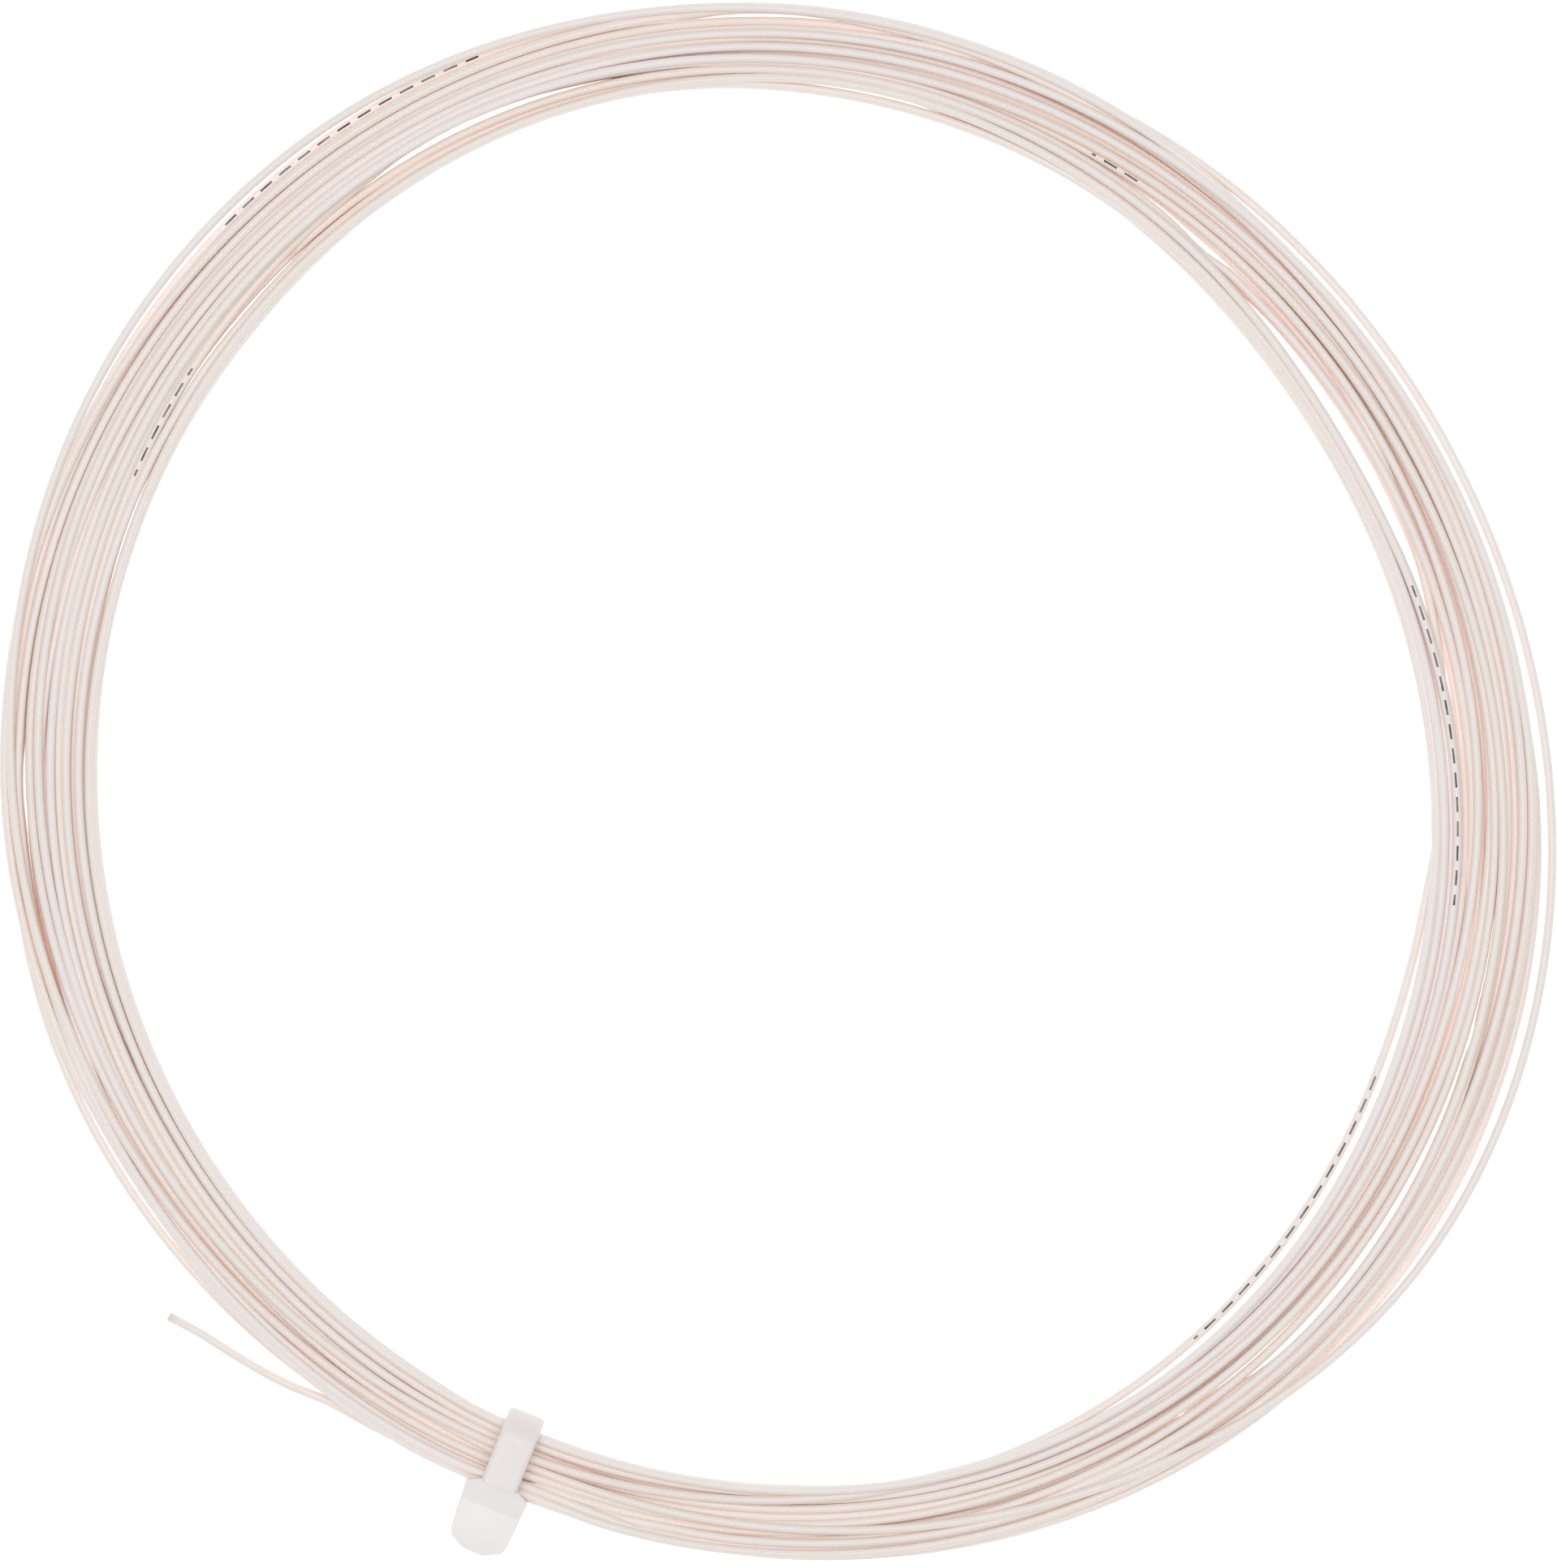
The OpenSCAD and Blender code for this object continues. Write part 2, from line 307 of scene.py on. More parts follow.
    def part(r, z, size, share):
        """Moves strands closer than size apart, each by its own share."""
        aside, up = pushes(r, z, size)
        kept_r, kept_z = keep(r + aside, z + up)
        return r + share * (kept_r - r), z + share * (kept_z - z)

    r = goal.copy()
    z = STRING_D / 2 + STACK * np.arange(passes)[:, None] + np.zeros(STATIONS)
    for n in range(rounds):
        done = n / rounds
        size = STRING_D * min(1, 0.2 + 2 * done)
        share = 0.5 - 0.1 * done
        r = smooth(r, COURSE_WIDTH - 0.5 * done, share)
        z = smooth(z, HEIGHT_WIDTH, share)
        r += GOAL_PULL * (1 - 0.9 * done) * (goal - r)
        z -= SINK * (1.3 - done) * loose
        for _ in range(2):
            aside, up = pushes(r, z, size)
            r, z = keep(r + aside, z + up)

    free = eased((off_tie - 8) / 10)
    r = r + free * (smooth(r, 3, 1) - r)
    for _ in range(SETTLE_ROUNDS):
        z += free * (smooth(z, HEIGHT_WIDTH, 0.3) - z - SETTLE_SINK)
        for _ in range(2):
            z = np.maximum(z + free * pushes(r, z, STRING_D)[1], floor)
        z[-1, pinned] = tail_z[pinned]

    # The tie pulls the turns together until they fill its strap.
    pulled = eased((18 - off_tie) / 13)
    most = GATHER_Z + GATHER_H - STRING_D / 2
    highest = z[:-1].max(0)
    taller = np.maximum((most - floor) / (highest - floor) - 1, 0)
    z[:-1] += pulled * taller * (z[:-1] - floor)
    for _ in range(PART_ROUNDS):
        r += pulled * PART_EASE * (smooth(r, 1.5, 1) - r)
        z += pulled * PART_EASE * (smooth(z, 1.5, 1) - z)
        r, z = part(r, z, STRING_D, pulled)

    # Buried strands that still run through each other part.
    buried = free * (1 - stray_share) * eased((on_top(r, z) - z - BURIED) / 0.6)
    for _ in range(PART_ROUNDS):
        r, z = part(r, z, 0.75 * STRING_D, buried)

    depth = smooth(np.maximum(on_top(r, z) - z, 0), 3, 1)

    turn_to = np.radians(START_DEG - STATION_DEG * np.arange(total))
    r = r.reshape(-1)[:total]
    points = np.stack([r * np.cos(turn_to), r * np.sin(turn_to), z.reshape(-1)[:total]], 1)
    points = np.vstack([points, tail[-1]])
    depth = np.append(depth.reshape(-1)[:total], 0)
    fine = np.arange(2 * len(points) - 1) / 2
    return along(points, fine), np.interp(fine, np.arange(len(depth)), depth)


def link(name, mesh):
    piece = bpy.data.objects.new(name, mesh)
    bpy.context.collection.objects.link(piece)
    return piece


def tube_mesh(name, points, radius, sides):
    """A round tube along points, closed at both ends. Its UV runs in millimetres along the
    string and once round it."""
    ahead = np.gradient(points, axis=0)
    ahead /= np.linalg.norm(ahead, axis=1)[:, None]
    across = np.cross(ahead, (0, 0, 1))
    across /= np.linalg.norm(across, axis=1)[:, None]
    up = np.cross(across, ahead)
    angle = 2 * math.pi * np.arange(sides) / sides
    rim = across[:, None] * np.cos(angle)[:, None] + up[:, None] * np.sin(angle)[:, None]
    corners = points[:, None] + radius * rim
    count = len(points)
    here = np.arange(count - 1)[:, None] * sides
    k = np.arange(sides)
    n = (k + 1) % sides
    walls = np.stack([here + k, here + n, here + sides + n, here + sides + k], -1).reshape(-1, 4)
    mesh = bpy.data.meshes.new(name)
    faces = walls.tolist()
    faces.append(list(range(sides - 1, -1, -1)))
    faces.append(list(range((count - 1) * sides, count * sides)))
    mesh.from_pydata((corners.reshape(-1, 3) * MM).tolist(), [], faces)
    run = np.concatenate([[0], np.cumsum(np.linalg.norm(np.diff(points, axis=0), axis=1))])
    u = np.stack([run[:-1], run[:-1], run[1:], run[1:]], -1)
    u = np.repeat(u[:, None], sides, 1).reshape(-1)
    v = np.tile(np.stack([k, k + 1, k + 1, k], -1).reshape(-1) / sides, count - 1)
    ends = np.zeros((2 * sides, 2))
    uv = np.vstack([np.stack([u, v], -1), ends])
    mesh.uv_layers.new(name="along_string").data.foreach_set("uv", uv.reshape(-1))
    mesh.polygons.foreach_set("use_smooth", [True] * len(walls) + [False, False])
    mesh.update()
    return mesh


def make_string():
    points, depth = wind_string(ROUNDS)
    mesh = tube_mesh("string", points, STRING_D / 2, STRING_SIDES)
    # How deep each point lies below the strands over it; the string's material paints a warm shade by
    # it.
    deep = mesh.attributes.new("depth", "FLOAT", "POINT")
    deep.data.foreach_set("value", np.repeat(depth, STRING_SIDES).astype(np.float32))
    string = link("string", mesh)
    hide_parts("string_coil", "string_tail")
    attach(string, "coil")
    return string


# ---- Nodes ----

def feed(tree, socket, value):
    """Gives an input a value, or links another node's output to it."""
    if isinstance(value, bpy.types.NodeSocket):
        tree.links.new(value, socket)
    else:
        socket.default_value = value


def node(tree, kind, inputs=None, **settings):
    made = tree.nodes.new(kind)
    for name, value in settings.items():
        setattr(made, name, value)
    for name, value in (inputs or {}).items():
        feed(tree, made.inputs[name], value)
    return made


def maths(tree, operation, a, b=0.0, c=0.0):
    return node(tree, "ShaderNodeMath", {0: a, 1: b, 2: c}, operation=operation).outputs[0]


def mixed(tree, share, a, b):
    """The colour a, with this share of the colour b."""
    made = node(tree, "ShaderNodeMix", data_type="RGBA")
    feed(tree, made.inputs[0], share)
    feed(tree, made.inputs[6], a)
    feed(tree, made.inputs[7], b)
    return made.outputs[2]


def fitted(tree, value, low, high, to_low=0.0, to_high=1.0):
    return node(tree, "ShaderNodeMapRange", {
        "Value": value, "From Min": low, "From Max": high, "To Min": to_low, "To Max": to_high,
    }).outputs[0]


def new_group(name, inputs, outputs):
    """An empty shader node group with these sockets, and its input and output nodes."""
    tree = bpy.data.node_groups.new(name, "ShaderNodeTree")
    kinds = {"colour": "NodeSocketColor", "value": "NodeSocketFloat"}
    for label, kind, value in inputs:
        socket = tree.interface.new_socket(label, in_out="INPUT", socket_type=kinds[kind])
        socket.default_value = value
    for label, kind in outputs:
        tree.interface.new_socket(label, in_out="OUTPUT", socket_type=kinds[kind])
    return tree, tree.nodes.new("NodeGroupInput").outputs, tree.nodes.new("NodeGroupOutput").inputs


def placed(tree, group, **inputs):
    """The outputs of a group placed in a material, with these values for its inputs."""
    made = node(tree, "ShaderNodeGroup", node_tree=group)
    for name, value in inputs.items():
        feed(tree, made.inputs[name.replace("_", " ")], value)
    return made.outputs


def new_material(name):
    material = bpy.data.materials.new(name)
    material.use_nodes = True
    tree = material.node_tree
    tree.nodes.clear()
    shader = tree.nodes.new("ShaderNodeBsdfPrincipled")
    out = tree.nodes.new("ShaderNodeOutputMaterial")
    tree.links.new(shader.outputs["BSDF"], out.inputs["Surface"])
    return material, tree, shader


def make_handled_group():
    """Haze and fine scuffs that handling leaves on plastic: a colour, a roughness and a height."""
    tree, given, out = new_group(
        "handled_plastic",
        [("Colour", "colour", (1, 1, 1, 1)), ("Cloud Colour", "colour", (1, 1, 1, 1)),
         ("Cloud Size", "value", 0.5), ("Cloud Share", "value", 0.5),
         ("Roughness", "value", 0.4), ("Scuffing", "value", 0.1)],
        [("Colour", "colour"), ("Roughness", "value"), ("Height", "value")])
    place = node(tree, "ShaderNodeTexCoord").outputs["Object"]
    cloud = node(tree, "ShaderNodeTexNoise", {
        "Vector": place, "Scale": maths(tree, "DIVIDE", 1 / MM, given["Cloud Size"]),
        "Detail": 3, "Roughness": 0.5}).outputs["Fac"]
    share = maths(tree, "MULTIPLY", fitted(tree, cloud, 0.35, 0.65), given["Cloud Share"])
    scuff = node(tree, "ShaderNodeTexNoise", {
        "Vector": place, "Scale": 9 / MM, "Detail": 4, "Roughness": 0.65}).outputs["Fac"]
    rub = maths(tree, "MULTIPLY", maths(tree, "SUBTRACT", scuff, 0.5), given["Scuffing"])
    tree.links.new(mixed(tree, share, given["Colour"], given["Cloud Colour"]), out["Colour"])
    tree.links.new(maths(tree, "ADD", given["Roughness"], rub), out["Roughness"])
    tree.links.new(scuff, out["Height"])
    return tree


HANDLED = make_handled_group()


BEIGE = (0.975, 0.89, 0.825, 1)
LAVENDER = (0.975, 0.905, 0.88, 1)
PEACH = (0.968, 0.862, 0.8, 1)
# Painted warm shade for strands buried under others, in place of light passing through the translucent
# string
BURIED_SHADE_PEACH = (0.998, 0.9, 0.845, 1)
# Painted highlight: glints where the braid's yarns cross
PAINTED_GLINT = (0.99, 0.985, 0.98, 1)
MILKY = (0.965, 0.905, 0.87, 1)
MARK_INK = (0.03, 0.025, 0.025, 1)

# Plain printed dashes: how far along the string each row starts, and its length
MARKS = [(1880, 4), (4502, 24), (4704, 9), (6422, 23), (9700, 24)]
MARK_PITCH = 1.8
MARK_SHARE = 0.62       # of the pitch, which the dash takes
MARK_W = 0.15


def printed_dashes(tree, length, around):
    """The mask of the dashes, which lie on the upper side of the string."""
    rows = 0
    for start, row_length in MARKS:
        from_middle = maths(tree, "ABSOLUTE", maths(tree, "SUBTRACT", length, start + row_length / 2))
        row = maths(tree, "LESS_THAN", from_middle, row_length / 2)
        rows = maths(tree, "ADD", row, rows)
    step = maths(tree, "FRACT", maths(tree, "DIVIDE", length, MARK_PITCH))
    dash = maths(tree, "LESS_THAN", step, MARK_SHARE)
    upper = 0.25        # of a turn round the string, where its upper side is
    aside = maths(tree, "ABSOLUTE", maths(tree, "SUBTRACT", around, upper))
    line = maths(tree, "LESS_THAN", aside, MARK_W / 2 / (math.pi * STRING_D))
    return maths(tree, "MULTIPLY", maths(tree, "MULTIPLY", rows, dash), line)


def string_material():
    """Coated braided nylon: off-white, warmer in random stretches, with the lift of the braid below the
    coat. Strands buried under others take a painted warm shade, and the braid's crossings take painted
    glints.
    """
    material, tree, shader = new_material("braided_string")
    uv = node(tree, "ShaderNodeSeparateXYZ", {
        0: node(tree, "ShaderNodeUVMap", uv_map="along_string").outputs[0]}).outputs
    length, around = uv["X"], uv["Y"]
    yarns = 4
    lay = 2.1           # millimetres along the string for one round of a yarn
    turn = 2 * math.pi

    def yarn(sign):
        phase = maths(tree, "MULTIPLY_ADD", length, sign * turn * yarns / lay / 2,
                      maths(tree, "MULTIPLY", around, turn * yarns / 2))
        return maths(tree, "ABSOLUTE", maths(tree, "SINE", phase))

    one, other = yarn(1), yarn(-1)
    braid = maths(tree, "MAXIMUM", one, other)
    # Painted highlight: glint spots where the yarns cross, thinned out at random.
    painted_glint_mask = fitted(tree, maths(tree, "MULTIPLY", one, other), 0.7, 0.85)
    spots = node(tree, "ShaderNodeTexNoise", {
        0: node(tree, "ShaderNodeUVMap", uv_map="along_string").outputs[0], "Scale": 1.9},
        noise_dimensions="2D").outputs["Fac"]
    painted_glint_mask = maths(tree, "MULTIPLY", painted_glint_mask, fitted(tree, spots, 0.45, 0.6, 0.1, 1))
    drift = node(tree, "ShaderNodeTexNoise", {
        "W": maths(tree, "MULTIPLY", length, 0.006), "Scale": 1, "Detail": 2},
        noise_dimensions="1D").outputs["Fac"]
    warmth = node(tree, "ShaderNodeTexNoise", {
        "W": maths(tree, "MULTIPLY_ADD", length, 0.011, 37), "Scale": 1, "Detail": 2},
        noise_dimensions="1D").outputs["Fac"]
    tint = mixed(tree, fitted(tree, drift, 0.42, 0.58), BEIGE, LAVENDER)
    tint = mixed(tree, fitted(tree, warmth, 0.55, 0.7), tint, PEACH)
    # Painted warm shade: the deeper a point lies below the strands over it, the more it takes the
    # buried-shade colour.
    depth = node(tree, "ShaderNodeAttribute", attribute_name="depth").outputs["Fac"]
    tint = mixed(tree, fitted(tree, depth, 0.1, 1.0, 0, 0.9), tint, BURIED_SHADE_PEACH)
    # The painted glints are mixed in at those spots.
    tint = mixed(tree, maths(tree, "MULTIPLY", painted_glint_mask, 0.9), tint, PAINTED_GLINT)
    tint = mixed(tree, printed_dashes(tree, length, around), tint, MARK_INK)
    handled = placed(tree, HANDLED, Colour=tint, Cloud_Colour=MILKY, Cloud_Size=1.6,
                     Cloud_Share=0.25, Roughness=0.36, Scuffing=0.16)
    tree.links.new(handled["Colour"], shader.inputs["Base Color"])
    tree.links.new(handled["Roughness"], shader.inputs["Roughness"])
    height = maths(tree, "MULTIPLY_ADD", handled["Height"], 0.15, braid)
    bump = node(tree, "ShaderNodeBump", {"Height": height, "Strength": 0.35, "Distance": 0.02 * MM})
    tree.links.new(bump.outputs[0], shader.inputs["Normal"])
    shader.inputs["IOR"].default_value = 1.5
    return material


def nylon_material(name, colour, cloud, ribs):
    """Natural nylon: milky, a little clear, with the clouds that moulding leaves in it."""
    material, tree, shader = new_material(name)
    base = colour
    # Painted shade of the ribs: with ribs, stripes at the rib pitch across the middle of the strap mix
    # the colour towards the darker cloud colour.
    if ribs:
        uv = node(tree, "ShaderNodeSeparateXYZ", {
            0: node(tree, "ShaderNodeUVMap", uv_map="along_strap").outputs[0]}).outputs
        wave = maths(tree, "SINE", maths(tree, "MULTIPLY", uv["X"], 2 * math.pi / RIB_PITCH))
        middle = fitted(tree, maths(tree, "ABSOLUTE", uv["Y"]), RIB_W / 2 + 0.05, RIB_W / 2 - 0.1)
        shade = maths(tree, "MULTIPLY", fitted(tree, wave, -1, 1, 0, 0.3), middle)
        base = mixed(tree, shade, colour, cloud)
    handled = placed(tree, HANDLED, Colour=base, Cloud_Colour=cloud, Cloud_Size=1.1,
                     Cloud_Share=0.5, Roughness=0.34, Scuffing=0.2)
    tree.links.new(handled["Colour"], shader.inputs["Base Color"])
    tree.links.new(handled["Roughness"], shader.inputs["Roughness"])
    bump = node(tree, "ShaderNodeBump", {
        "Height": handled["Height"], "Strength": 0.25, "Distance": 0.02 * MM})
    tree.links.new(bump.outputs[0], shader.inputs["Normal"])
    shader.inputs["IOR"].default_value = 1.53
    shader.inputs["Subsurface Weight"].default_value = 0.12
    shader.inputs["Subsurface Radius"].default_value = (1.0, 1.0, 1.0)
    shader.inputs["Subsurface Scale"].default_value = 0.3 * MM
    return material


# ---- Tie ----

STRAP_W = 2.76
STRAP_T = 0.95
STRAP_IN = 50.32        # radius of the strap's middle beside the eye of the coil
STRAP_OUT = 56.525      # and below the head
STRAP_END = 60.3
STRAP_BEND_R = 1.675
ROOT_BEND_R = 0.875
STRAP_TOP_Z = 4.625     # height of the strap's middle over the turns
STRAP_START_Z = 2.1
STRAP_EDGE_R = 0.3
RIB_PITCH = 0.6
RIB_DEPTH = 0.3
RIB_W = 1.6
RIB = [(0, 0), (0.45, 0.5), (0.83, 1), (0.86, 0)]      # share of the pitch, share of the depth

# Painted light and shade: head and strap are one nylon, but the head's copy is painted lighter and the
# strap's darker and pinker; the strap's cloud colour also gives the painted rib shade.
STRAP_NYLON_SHADED = (0.925, 0.875, 0.855, 1)
STRAP_CLOUD_SHADED = (0.9, 0.82, 0.79, 1)
HEAD_NYLON_LIT = (0.99, 0.955, 0.93, 1)
HEAD_CLOUD_LIT = (0.985, 0.94, 0.905, 1)

HEAD_FRONT = 55.38
HEAD_END = 60.55
HEAD_LOW = 1.696
HEAD_TOP = 6.39
HEAD_FACE = 56.05       # the face beside the turns, below the ears
HEAD_PLAN = [           # one side of the head from above: radius and half width
    (HEAD_FRONT, 1.38), (55.9, 2.42), (58.6, 2.23), (59.4, 2.16), (59.94, 1.98), (HEAD_END, 0.81),
]
HEAD_EDGE_R = 0.13
SLOT_Z = (4.11, 5.095)
SLOT_HALF_W = 1.48
EAR_HALF_W = 1.3        # half the space between the ears, which grow into the edges of the strap
POCKET_X = 56.97
POCKET_Z = 2.496
POCKET_HALF_W = 1.15
EAR_ROOF_X = 55.55      # the front of the roof over the strap, between the ears
SLOPE_Z = 5.1           # the top of the ears, from which the head slopes up
SLOPE_L = 1.8
SEAT_R = 0.38           # of the pawl's root
HEAD_HALF_W = 3         # clear of the head on both sides
CUT = 1                 # how far a cutter reaches past the head

AT_TIE = Matrix.Rotation(math.radians(TIE_DEG), 4, "Z")


def strap_path():
    """Stations along the middle of the strap, from below the head round the turns to its cut end:
    radius, height, the outward direction there, and how deep the groove is."""
    stations = []

    def straight(x0, z0, x1, z1, count, out):
        for k in range(count):
            t = k / count
            stations.append((x0 + (x1 - x0) * t, z0 + (z1 - z0) * t, out, 0.0))

    def bend(x, z, radius, start, end, count):
        for k in range(count):
            a = math.radians(start + (end - start) * k / count)
            out = (math.cos(a), math.sin(a))
            stations.append((x + radius * out[0], z + radius * out[1], out, 0.0))

    low = STRAP_T / 2
    left = STRAP_IN + STRAP_BEND_R
    right = STRAP_OUT - ROOT_BEND_R
    straight(STRAP_OUT, STRAP_START_Z, STRAP_OUT, low + ROOT_BEND_R, 3, (1, 0))
    bend(right, low + ROOT_BEND_R, ROOT_BEND_R, 0, -90, 10)
    straight(right, low, left, low, 12, (0, -1))
    bend(left, low + STRAP_BEND_R, STRAP_BEND_R, -90, -180, 14)
    straight(STRAP_IN, low + STRAP_BEND_R, STRAP_IN, STRAP_TOP_Z - STRAP_BEND_R, 3, (-1, 0))
    bend(left, STRAP_TOP_Z - STRAP_BEND_R, STRAP_BEND_R, 180, 90, 14)
    x = left
    while x + RIB_PITCH < STRAP_END:
        for step, deep in RIB:
            stations.append((x + step * RIB_PITCH, STRAP_TOP_Z, (0, 1), deep * RIB_DEPTH))
        x += RIB_PITCH
    stations.append((x, STRAP_TOP_Z, (0, 1), 0.0))
    stations.append((STRAP_END, STRAP_TOP_Z, (0, 1), 0.0))
    return stations


def strap_section(groove):
    """The strap's section as points (across, outward): rounded outer edges, a ribbed track inside."""
    half_w, half_t = STRAP_W / 2, STRAP_T / 2
    r = STRAP_EDGE_R
    corner = [(half_w - r + r * math.cos(a), half_t - r + r * math.sin(a))
              for a in np.radians([0, 22.5, 45, 67.5, 90])]
    bevel = 0.08
    inside = [(half_w - bevel, -half_t), (half_w, -half_t + bevel)]
    track = [(RIB_W / 2 - 0.02, -half_t + groove), (RIB_W / 2 + 0.02, -half_t)]
    right = track + inside + corner
    return right + [(-y, n) for y, n in reversed(right)]


def make_strap():
    stations = strap_path()
    mesh = bmesh.new()
    uv = mesh.loops.layers.uv.new("along_strap")
    rings = []
    runs = []
    run = 0.0
    for i, (x, z, out, groove) in enumerate(stations):
        if i:
            run += math.hypot(x - stations[i - 1][0], z - stations[i - 1][1])
        runs.append(run)
        rings.append([
            mesh.verts.new(AT_TIE @ Vector((x + n * out[0], y, z + n * out[1])))
            for y, n in strap_section(groove)])
    across = [y for y, _ in strap_section(0)]
    count = len(across)
    for i in range(len(rings) - 1):
        for k in range(count):
            n = (k + 1) % count
            face = mesh.faces.new((rings[i][k], rings[i][n], rings[i + 1][n], rings[i + 1][k]))
            face.smooth = True
            for loop, u, v in zip(face.loops, (i, i, i + 1, i + 1), (k, n, n, k)):
                loop[uv].uv = (runs[u], across[v])
    mesh.faces.new(list(reversed(rings[0])))
    mesh.faces.new(rings[-1])
    bmesh.ops.recalc_face_normals(mesh, faces=mesh.faces)
    bmesh.ops.scale(mesh, vec=(MM, MM, MM), verts=mesh.verts)
    data = bpy.data.meshes.new("strap")
    mesh.to_mesh(data)
    mesh.free()
    data.set_sharp_from_angle(angle=math.radians(35))
    strap = link("strap", data)
    strap.data.materials.append(nylon_material("strap_nylon_shaded", STRAP_NYLON_SHADED, STRAP_CLOUD_SHADED, True))
    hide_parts("tie_strap")
    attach(strap, "coil")
    return strap


def bar(name, profile, half_w):
    """A bar across the tie, in millimetres, with the given outline in side view: (radius, height)."""
    mesh = bmesh.new()
    side = [mesh.verts.new(AT_TIE @ Vector((x, -half_w, z))) for x, z in profile]
    raised = bmesh.ops.extrude_face_region(mesh, geom=[mesh.faces.new(side)])["geom"]
    across = AT_TIE.to_3x3() @ Vector((0, 2 * half_w, 0))
    bmesh.ops.translate(mesh, vec=across, verts=[v for v in raised if isinstance(v, bmesh.types.BMVert)])
    bmesh.ops.recalc_face_normals(mesh, faces=mesh.faces)
    data = bpy.data.meshes.new(name)
    mesh.to_mesh(data)
    mesh.free()
    return link(name, data)


def block(x0, x1, z0, z1, half_w):
    return bar("cutter", [(x0, z0), (x1, z0), (x1, z1), (x0, z1)], half_w)


def apply_all(piece):
    """Replaces the piece's mesh with what its modifiers make of it."""
    shown = piece.evaluated_get(bpy.context.evaluated_depsgraph_get())
    data = bpy.data.meshes.new_from_object(shown)
    piece.modifiers.clear()
    piece.data = data


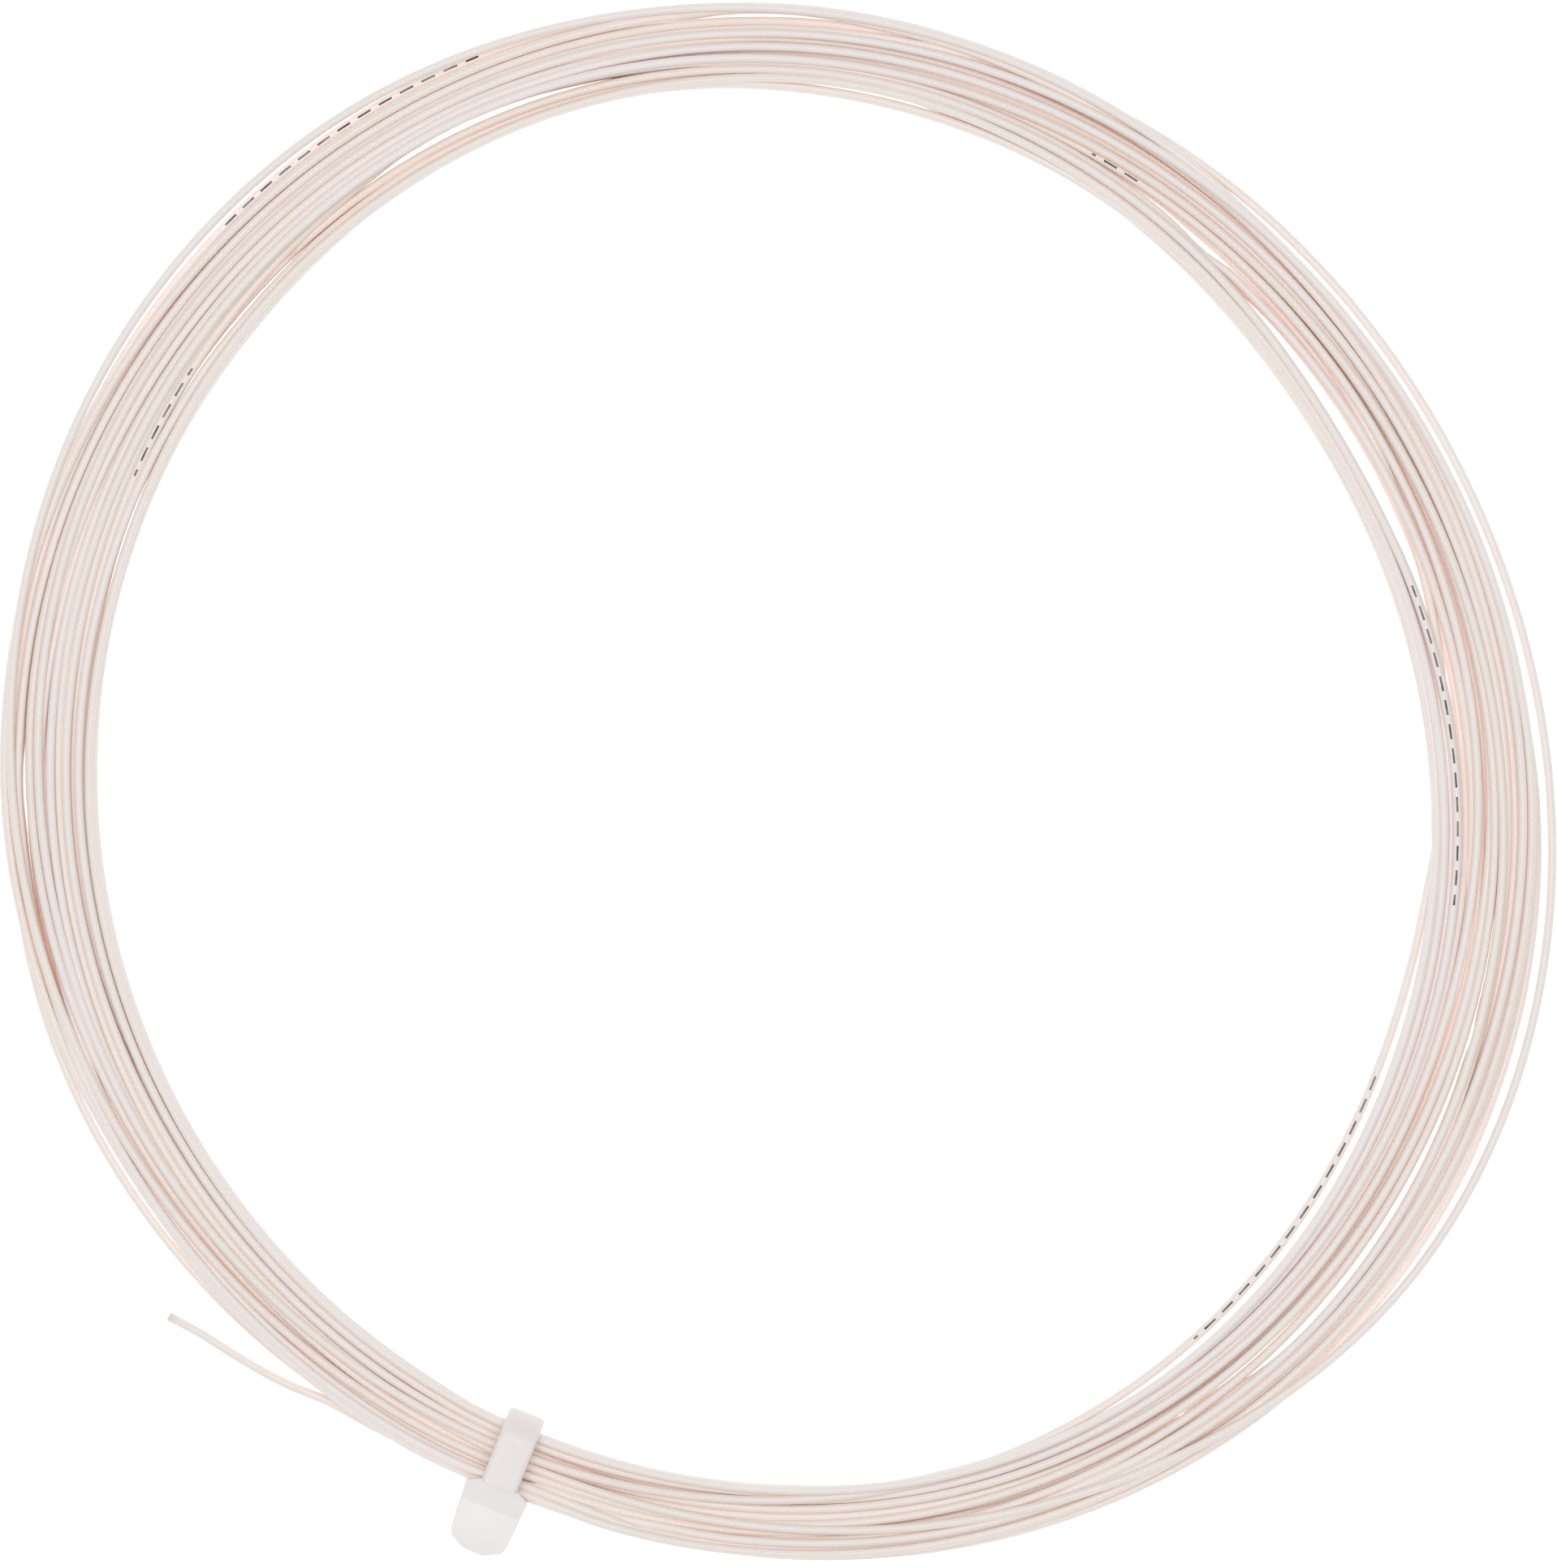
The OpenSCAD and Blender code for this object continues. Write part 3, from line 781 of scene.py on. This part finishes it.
def make_head():
    mesh = bmesh.new()
    outline = HEAD_PLAN + [(x, -y) for x, y in reversed(HEAD_PLAN)]
    lower = [mesh.verts.new(AT_TIE @ Vector((x, y, HEAD_LOW))) for x, y in outline]
    base = mesh.faces.new(lower)
    raised = bmesh.ops.extrude_face_region(mesh, geom=[base])["geom"]
    bmesh.ops.translate(mesh, vec=(0, 0, HEAD_TOP - HEAD_LOW),
                        verts=[v for v in raised if isinstance(v, bmesh.types.BMVert)])
    bmesh.ops.recalc_face_normals(mesh, faces=mesh.faces)
    data = bpy.data.meshes.new("head")
    mesh.to_mesh(data)
    mesh.free()
    head = link("head", data)
    rounding = head.modifiers.new("edges", "BEVEL")
    rounding.width = HEAD_EDGE_R
    rounding.segments = 4
    rounding.limit_method = "ANGLE"
    rounding.angle_limit = math.radians(20)
    apply_all(head)
    past = HEAD_END + CUT
    before = HEAD_FRONT - CUT
    above = HEAD_TOP + CUT
    slope = [(before, SLOPE_Z), (HEAD_FRONT, SLOPE_Z), (HEAD_FRONT + SLOPE_L, HEAD_TOP),
             (HEAD_FRONT + SLOPE_L, above), (before, above)]
    cutters = [
        block(before, HEAD_FACE, HEAD_LOW - CUT, SLOT_Z[0] + 0.04, HEAD_HALF_W),
        block(before, EAR_ROOF_X, SLOT_Z[0], above, EAR_HALF_W),
        block(HEAD_FACE - CUT, past, SLOT_Z[0], SLOT_Z[1], SLOT_HALF_W),
        block(POCKET_X - SEAT_R, past, POCKET_Z, SLOT_Z[0] + 0.1, POCKET_HALF_W),
        bar("cutter", slope, HEAD_HALF_W),
    ]
    for cutter in cutters:
        cut = head.modifiers.new("cut", "BOOLEAN")
        cut.operation = "DIFFERENCE"
        cut.solver = "EXACT"
        cut.object = cutter
    soften = head.modifiers.new("mouth", "BEVEL")
    soften.width = 0.05
    soften.segments = 2
    soften.limit_method = "ANGLE"
    soften.angle_limit = math.radians(50)
    apply_all(head)
    for cutter in cutters:
        bpy.data.objects.remove(cutter)
    head.data.transform(Matrix.Scale(MM, 4))
    head.data.polygons.foreach_set("use_smooth", [True] * len(head.data.polygons))
    head.data.set_sharp_from_angle(angle=math.radians(35))
    head.data.materials.clear()
    head.data.materials.append(nylon_material("head_nylon_lit", HEAD_NYLON_LIT, HEAD_CLOUD_LIT, False))
    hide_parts("tie_head")
    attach(head, "coil")
    return head


def dress_pawl():
    """The pawl keeps its own shape and takes the head's nylon."""
    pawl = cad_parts["tie_pawl"]
    pawl.data.materials.clear()
    pawl.data.materials.append(bpy.data.materials["head_nylon_lit"])


# ---- Studio ----

FLOOR_HALF = 1.5        # metres, like the rest of the studio
DOME = 0.53
SOFTBOX_SIZE = 0.5
SOFTBOXES = [
    ("softbox_left", (-0.14, 0.11, 0.9), 1.8),
    ("softbox_right", (0.13, -0.08, 0.9), 1.0),
]


def make_floor():
    """A white floor that shines a little by itself, so that it takes no shadow."""
    half = FLOOR_HALF
    data = bpy.data.meshes.new("floor")
    data.from_pydata([(-half, -half, 0), (half, -half, 0), (half, half, 0), (-half, half, 0)],
                     [], [(0, 1, 2, 3)])
    floor = link("floor", data)
    material, _, shader = new_material("white_floor")
    shader.inputs["Base Color"].default_value = (0.2, 0.2, 0.2, 1)
    shader.inputs["Roughness"].default_value = 0.9
    shader.inputs["Specular IOR Level"].default_value = 0
    shader.inputs["Emission Color"].default_value = (1, 1, 1, 1)
    shader.inputs["Emission Strength"].default_value = 1.0
    data.materials.append(material)


def make_lights():
    world = bpy.data.worlds.new("studio")
    world.use_nodes = True
    dome = world.node_tree.nodes["Background"].inputs
    dome["Color"].default_value = (1, 1, 1, 1)
    dome["Strength"].default_value = DOME
    bpy.context.scene.world = world
    for name, place, power in SOFTBOXES:
        light = bpy.data.lights.new(name, "AREA")
        light.shape = "DISK"
        light.size = SOFTBOX_SIZE
        light.energy = power
        lamp = bpy.data.objects.new(name, light)
        lamp.location = place
        lamp.rotation_euler = (-lamp.location).to_track_quat("-Z", "Y").to_euler()
        lamp.visible_camera = False
        bpy.context.collection.objects.link(lamp)
    bpy.context.scene.view_settings.view_transform = "Standard"
    bpy.context.scene.cycles.max_bounces = 32
    bpy.context.scene.cycles.diffuse_bounces = 24


string = make_string()
string.data.materials.append(string_material())
make_strap()
make_head()
dress_pawl()
make_floor()
make_lights()
